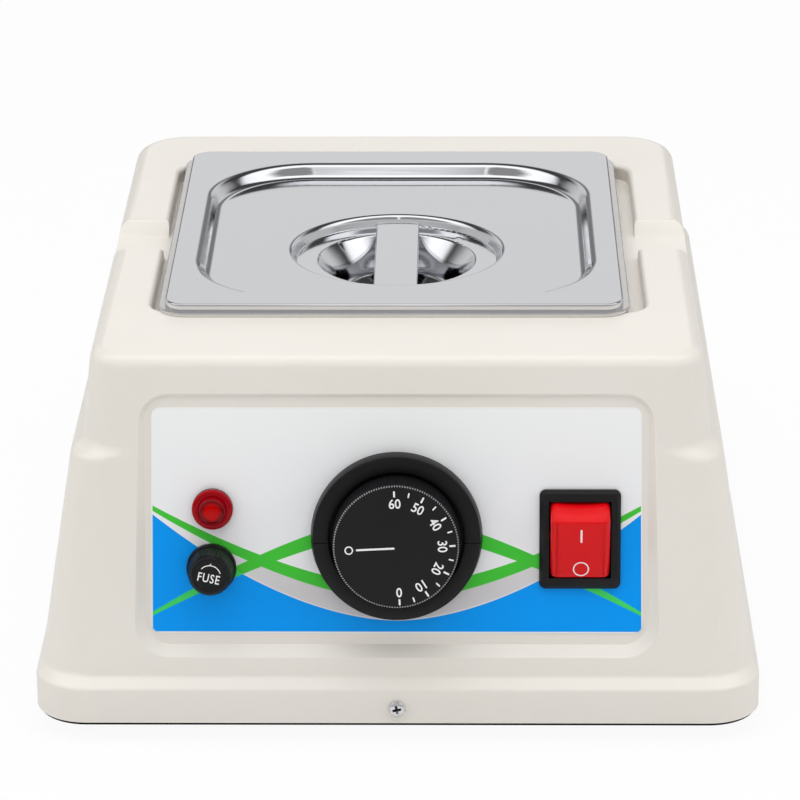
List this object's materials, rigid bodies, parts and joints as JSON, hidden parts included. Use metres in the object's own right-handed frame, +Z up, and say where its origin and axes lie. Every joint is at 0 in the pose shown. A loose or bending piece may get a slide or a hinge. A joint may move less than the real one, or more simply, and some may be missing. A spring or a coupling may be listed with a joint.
{
  "type": "chocolate melter",
  "caption": "Table-top chocolate melter: a shouldered plastic housing with a lift-out steel pan and lid, and a sunk panel with dial, rocker switch, lamp and fuse.",
  "frame": {"origin": "on the surface it stands on, under the middle of its whole width and depth", "axes": "+Z up, the control panel faces -Y, and +X is to the right of a person who faces the panel"},
  "size_m": [0.25, 0.3038, 0.1347],
  "materials": {
    "housing_plastic": "moulded, fine satin grain",
    "control_film": "printed film, satin gloss",
    "black_plastic": "moulded, satin",
    "black_knob": "moulded, satin",
    "red_plastic": "moulded, glossy",
    "red_lens": "clear red, glossy",
    "pan_steel": "drawn stainless, satin",
    "lid_steel": "pressed stainless, bright",
    "well_aluminium": "drawn, matt",
    "base_steel": "black powder coat",
    "zinc_steel": "zinc plated",
    "brass_contact": "tin-free contact brass",
    "copper_tube": "drawn copper",
    "foot_rubber": "moulded rubber",
    "silicone": "silicone rubber",
    "seal_rubber": "soft rubber",
    "fibre": "pressed fibre",
    "fuse_glass": "clear glass",
    "thermostat_resin": "moulded resin",
    "white_resin": "moulded resin"
  },
  "bodies": {
    "housing": {"base_plate": "base_steel", "bulb_clip": "zinc_steel", "cable_gland_body": "black_plastic", "capillary_tube": "copper_tube", "control_overlay": "control_film", "foot_nuts": "zinc_steel", "foot_screws": "zinc_steel", "fuse_holder_body": "black_plastic", "fuse_holder_nut": "black_plastic", "gland_dome_nut": "black_plastic", "gland_locknut": "black_plastic", "gland_seal": "seal_rubber", "heater_mat": "silicone", "heating_well": "well_aluminium", "insulation_jacket": "fibre", "insulation_pad": "fibre", "lamp_body": "black_plastic", "lamp_lens": "red_lens", "lamp_nut": "black_plastic", "outer_casing": "housing_plastic", "rubber_feet": "foot_rubber", "sensor_bulb": "copper_tube", "skirt_screws": "zinc_steel", "switch_housing": "black_plastic", "switch_terminals": "brass_contact", "terminal_block": "white_resin", "terminal_screws": "zinc_steel", "thermostat_bezel": "black_plastic", "thermostat_body": "thermostat_resin", "thermostat_screws": "zinc_steel", "thermostat_terminals": "brass_contact", "well_gasket": "silicone", "well_screws": "zinc_steel"},
    "pan": {"food_pan": "pan_steel"},
    "lid": {"lid_plate": "lid_steel", "lid_handle": "lid_steel"},
    "knob": {"control_knob": "black_knob", "thermostat_shaft": "zinc_steel"},
    "rocker": {"switch_rocker": "red_plastic"},
    "fuse_link": {"fuse_glass": "fuse_glass", "fuse_end_caps": "zinc_steel"},
    "fuse_cap": {"fuse_cap": "black_plastic"}
  },
  "joints": [
    {"name": "pan_lift", "type": "slide", "parent": "housing", "child": "pan", "axis": [0, 0, 1], "range_m": [0, 0.13]},
    {"name": "lid_lift", "type": "slide", "parent": "pan", "child": "lid", "axis": [0, 0, 1], "range_m": [0, 0.1]},
    {"name": "knob_turn", "type": "hinge", "parent": "housing", "child": "knob", "pos_m": [0, -0.13237, 0.06985], "axis": [0, 0.9877, -0.1564], "range_deg": [0, 270]},
    {"name": "rocker_tip", "type": "hinge", "parent": "housing", "child": "rocker", "pos_m": [0.0616, -0.12908, 0.06822], "axis": [-1, 0, 0], "range_deg": [0, 32]},
    {"name": "fuse_draw", "type": "slide", "parent": "housing", "child": "fuse_link", "axis": [0, -0.9877, 0.1564], "range_m": [0, 0.045]},
    {"name": "fuse_cap_turn", "type": "hinge", "parent": "fuse_link", "child": "fuse_cap", "pos_m": [-0.0624, -0.13412, 0.05879], "axis": [0, -0.9877, 0.1564], "range_deg": [0, 90]}
  ]
}
